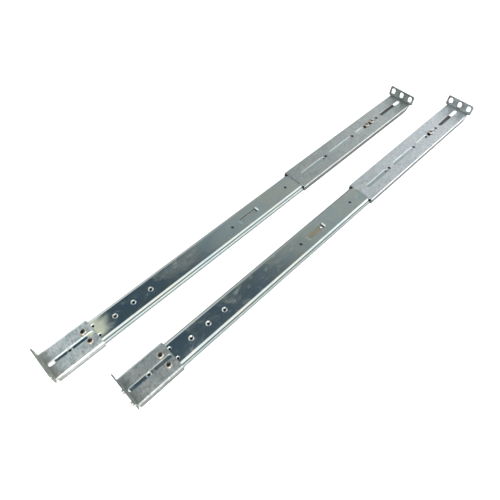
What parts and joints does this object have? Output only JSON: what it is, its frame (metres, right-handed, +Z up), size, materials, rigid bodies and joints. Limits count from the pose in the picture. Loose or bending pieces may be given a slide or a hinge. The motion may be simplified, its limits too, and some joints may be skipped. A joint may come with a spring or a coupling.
{
  "type": "sliding server rail pair",
  "caption": "Pair of three-section ball bearing rack slides with a front bracket, an adjustable slotted rear bracket and rack flanges, for carrying a server chassis in a cabinet.",
  "frame": {"origin": "centre of the pair's footprint, on the surface that the rails lie on", "axes": "+X along the rails from the front flanges to the rear flanges, so the slides open towards -X; +Y towards the left rail; +Z up, away from the chassis side"},
  "size_m": [0.7018, 0.1248, 0.0276],
  "materials": {
    "zinc_channel": "glossy blue-passivated zinc plate, cloudy",
    "zinc_bracket": "satin zinc plate with fine cross grain",
    "steel_member": "bright zinc plate",
    "retainer": "yellow-passivated steel strip",
    "ball_steel": "polished",
    "screw_steel": "nickel plated, warm",
    "insert_steel": "zinc plated, machined",
    "black_plastic": "moulded acetal, fine texture"
  },
  "bodies": {
    "rack_side": {"left_outer_member": "zinc_channel", "left_front_bracket": "zinc_bracket", "left_front_bracket_screws": "screw_steel", "left_rear_bracket_screws": "screw_steel", "left_rear_bumper": "black_plastic", "right_outer_member": "zinc_channel", "right_front_bracket": "zinc_bracket", "right_front_bracket_screws": "screw_steel", "right_rear_bracket_screws": "screw_steel", "right_rack_inserts": "insert_steel", "right_rear_bumper": "black_plastic"},
    "left_rear_bracket_body": {"left_rear_bracket": "zinc_bracket"},
    "left_outer_cage": {"left_outer_ball_retainer": "retainer", "left_outer_balls": "ball_steel"},
    "left_middle": {"left_middle_member": "steel_member", "left_middle_bumper": "black_plastic", "left_middle_bumper_rivet": "insert_steel"},
    "left_inner_cage": {"left_inner_ball_retainer": "retainer", "left_inner_balls": "ball_steel"},
    "left_inner": {"left_inner_member": "steel_member", "left_lever_rivet": "insert_steel"},
    "left_lever": {"left_release_lever": "black_plastic"},
    "right_rear_bracket_body": {"right_rear_bracket": "zinc_bracket"},
    "right_outer_cage": {"right_outer_ball_retainer": "retainer", "right_outer_balls": "ball_steel"},
    "right_middle": {"right_middle_member": "steel_member", "right_middle_bumper": "black_plastic", "right_middle_bumper_rivet": "insert_steel"},
    "right_inner_cage": {"right_inner_ball_retainer": "retainer", "right_inner_balls": "ball_steel"},
    "right_inner": {"right_inner_member": "steel_member", "right_lever_rivet": "insert_steel"},
    "right_lever": {"right_release_lever": "black_plastic"}
  },
  "joints": [
    {"name": "left_middle_slide", "type": "slide", "parent": "rack_side", "child": "left_middle", "axis": [-1, 0, 0], "range_m": [0, 0.31]},
    {"name": "left_outer_cage_slide", "type": "slide", "parent": "rack_side", "child": "left_outer_cage", "axis": [-1, 0, 0], "range_m": [0, 0.155]},
    {"name": "left_inner_slide", "type": "slide", "parent": "left_middle", "child": "left_inner", "axis": [-1, 0, 0], "range_m": [0, 0.31]},
    {"name": "left_inner_cage_slide", "type": "slide", "parent": "left_middle", "child": "left_inner_cage", "axis": [-1, 0, 0], "range_m": [0, 0.155]},
    {"name": "left_rear_bracket_slide", "type": "slide", "parent": "rack_side", "child": "left_rear_bracket_body", "axis": [1, 0, 0], "range_m": [-0.005, 0.025]},
    {"name": "left_release_lever_pivot", "type": "hinge", "parent": "left_inner", "child": "left_lever", "pos_m": [-0.0874, 0.0401, 0.0028], "axis": [0, 0, 1], "range_deg": [-3, 0], "stiffness_Nm_per_rad": 0.3},
    {"name": "right_middle_slide", "type": "slide", "parent": "rack_side", "child": "right_middle", "axis": [-1, 0, 0], "range_m": [0, 0.31]},
    {"name": "right_outer_cage_slide", "type": "slide", "parent": "rack_side", "child": "right_outer_cage", "axis": [-1, 0, 0], "range_m": [0, 0.155]},
    {"name": "right_inner_slide", "type": "slide", "parent": "right_middle", "child": "right_inner", "axis": [-1, 0, 0], "range_m": [0, 0.31]},
    {"name": "right_inner_cage_slide", "type": "slide", "parent": "right_middle", "child": "right_inner_cage", "axis": [-1, 0, 0], "range_m": [0, 0.155]},
    {"name": "right_rear_bracket_slide", "type": "slide", "parent": "rack_side", "child": "right_rear_bracket_body", "axis": [1, 0, 0], "range_m": [-0.0085, 0.034]},
    {"name": "right_release_lever_pivot", "type": "hinge", "parent": "right_inner", "child": "right_lever", "pos_m": [-0.043, -0.0397, 0.0028], "axis": [0, 0, 1], "range_deg": [0, 3], "stiffness_Nm_per_rad": 0.3}
  ],
  "couplings": [
    {"joint": "left_outer_cage_slide", "follows": "left_middle_slide", "ratio": 0.5},
    {"joint": "left_inner_cage_slide", "follows": "left_inner_slide", "ratio": 0.5},
    {"joint": "right_outer_cage_slide", "follows": "right_middle_slide", "ratio": 0.5},
    {"joint": "right_inner_cage_slide", "follows": "right_inner_slide", "ratio": 0.5}
  ]
}
